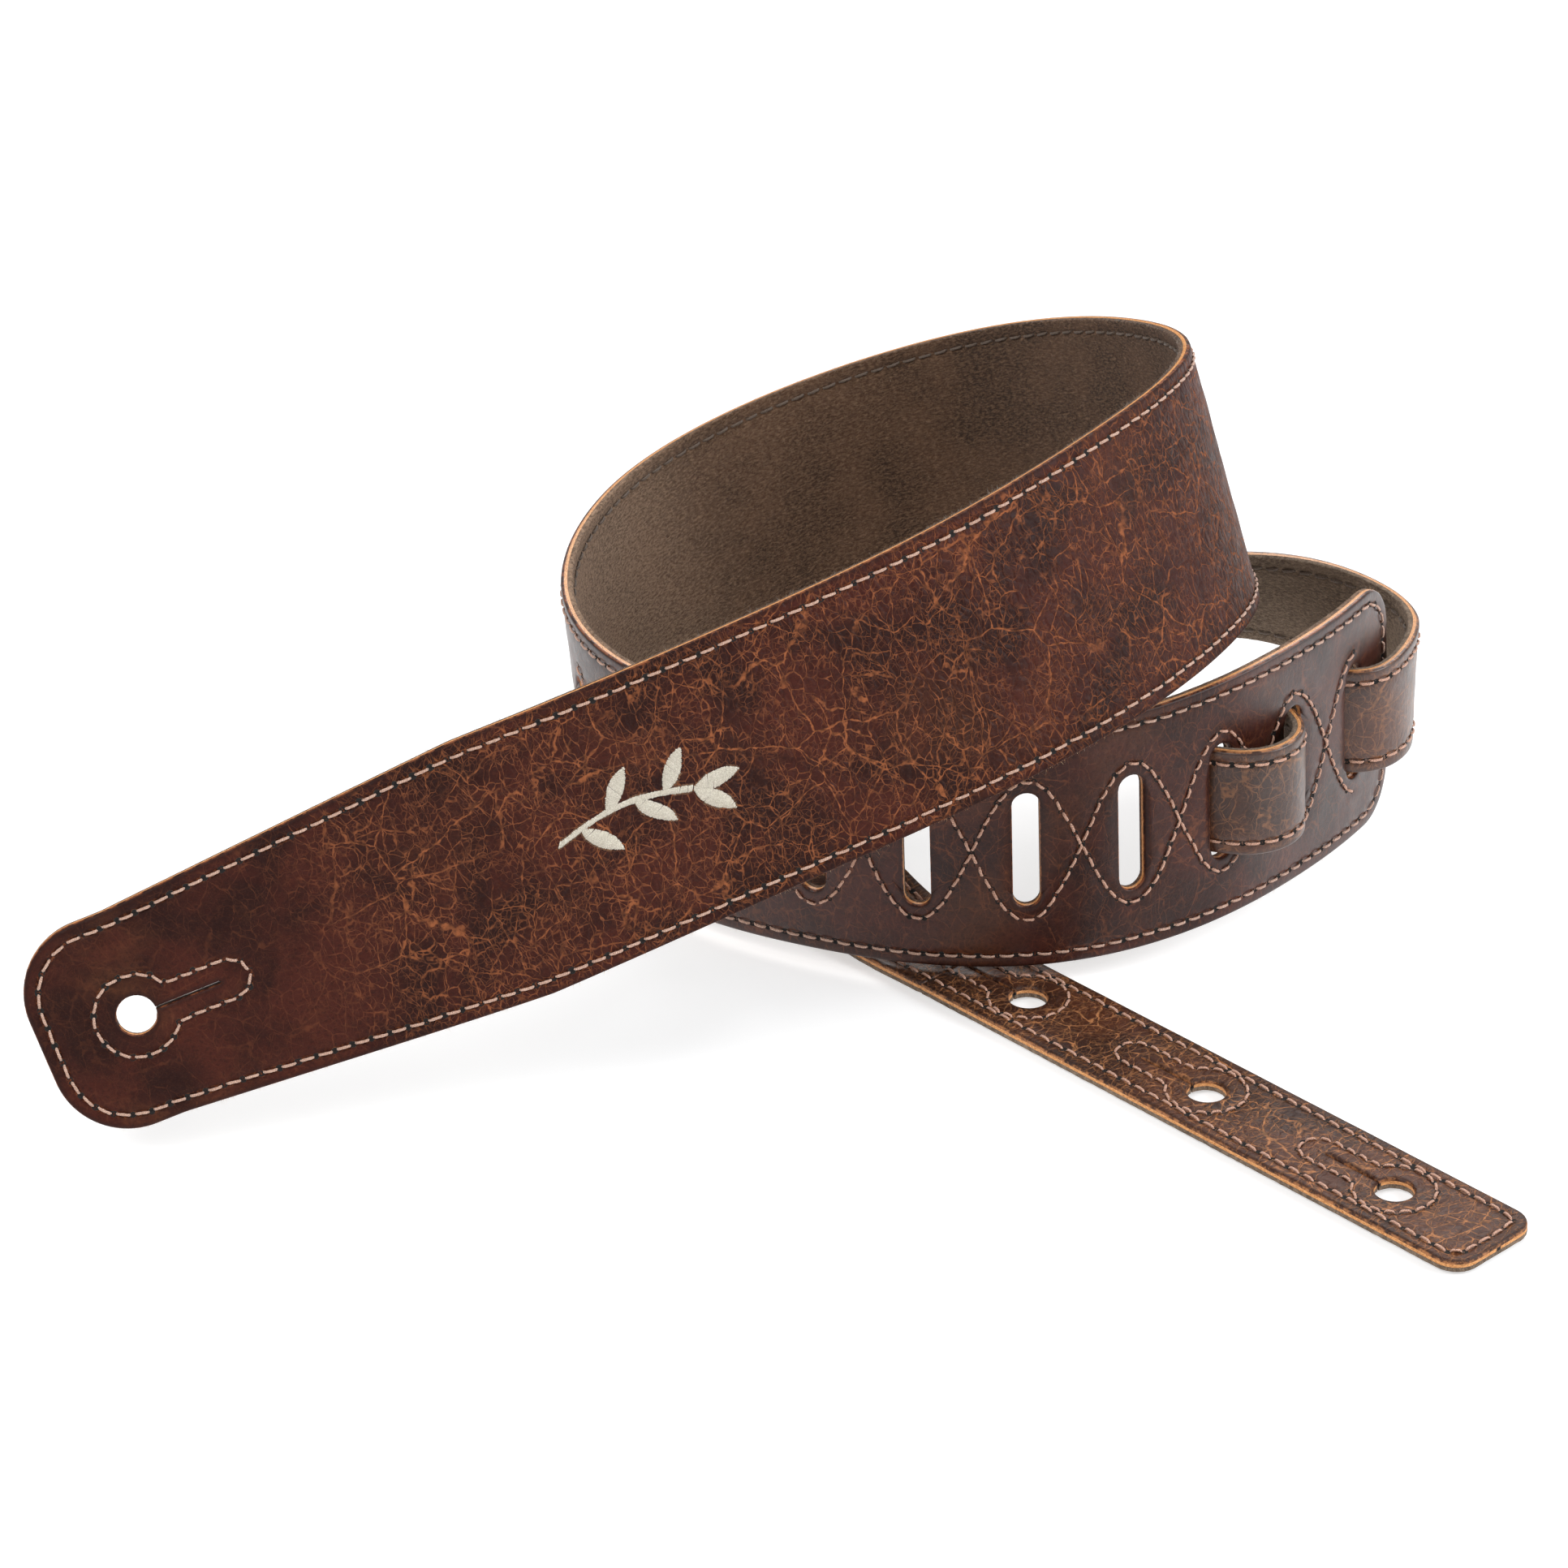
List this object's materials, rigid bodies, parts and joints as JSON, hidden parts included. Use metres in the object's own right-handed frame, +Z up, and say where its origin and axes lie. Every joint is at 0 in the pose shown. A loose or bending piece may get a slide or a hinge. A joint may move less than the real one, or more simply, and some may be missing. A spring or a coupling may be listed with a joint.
{
  "type": "guitar strap",
  "caption": "Wide lined leather guitar strap lying coiled on its edge, with a slotted end, a narrow laced adjusting tail and round button holes at both ends.",
  "frame": {"origin": "centre of the bounding box in plan, on the surface the strap lies on", "axes": "+Z up; +X along the longest extent, towards the free end of the laced tail; the grain side of the front flap faces -Y"},
  "size_m": [0.3295, 0.2763, 0.1315],
  "materials": {
    "face_leather": "crackled, waxed satin",
    "suede_lining": "matt suede nap",
    "seam_thread": "twisted waxed thread",
    "bobbin_thread": "twisted thread, pulled into the suede",
    "satin_thread": "satin embroidery thread"
  },
  "bodies": {
    "strap": {"strap_face_leather": "face_leather", "strap_suede_lining": "suede_lining", "strap_edge_stitching": "seam_thread", "strap_edge_bobbin_thread": "bobbin_thread", "slot_wave_stitching_a": "seam_thread", "slot_wave_stitching_b": "seam_thread", "embroidered_sprig": "satin_thread", "tail_face_leather": "face_leather", "tail_suede_lining": "suede_lining", "tail_edge_stitching": "seam_thread", "tail_edge_bobbin_thread": "bobbin_thread", "tail_button_hole_stitching_1": "seam_thread"},
    "front_tip": {"front_tip_face_leather": "face_leather", "front_tip_suede_lining": "suede_lining", "front_tip_edge_stitching": "seam_thread", "front_button_hole_stitching": "seam_thread", "front_tip_bobbin_thread": "bobbin_thread"},
    "tail_end": {"tail_end_face_leather": "face_leather", "tail_end_suede_lining": "suede_lining", "tail_end_edge_stitching": "seam_thread", "tail_button_hole_stitching_2": "seam_thread", "tail_button_hole_stitching_3": "seam_thread", "tail_end_bobbin_thread": "bobbin_thread"}
  },
  "joints": [
    {"name": "front_tip_flex", "type": "hinge", "parent": "strap", "child": "front_tip", "pos_m": [-0.09712, -0.07711, 0.04909], "axis": [0.3618, -0.2439, -0.8998], "range_deg": [0, 60], "stiffness_Nm_per_rad": 0.3},
    {"name": "tail_end_flex", "type": "hinge", "parent": "strap", "child": "tail_end", "pos_m": [0.07263, -0.04298, 0.0037], "axis": [-0.7205, -0.6935, -0.0001], "range_deg": [0, 70], "stiffness_Nm_per_rad": 0.15}
  ]
}
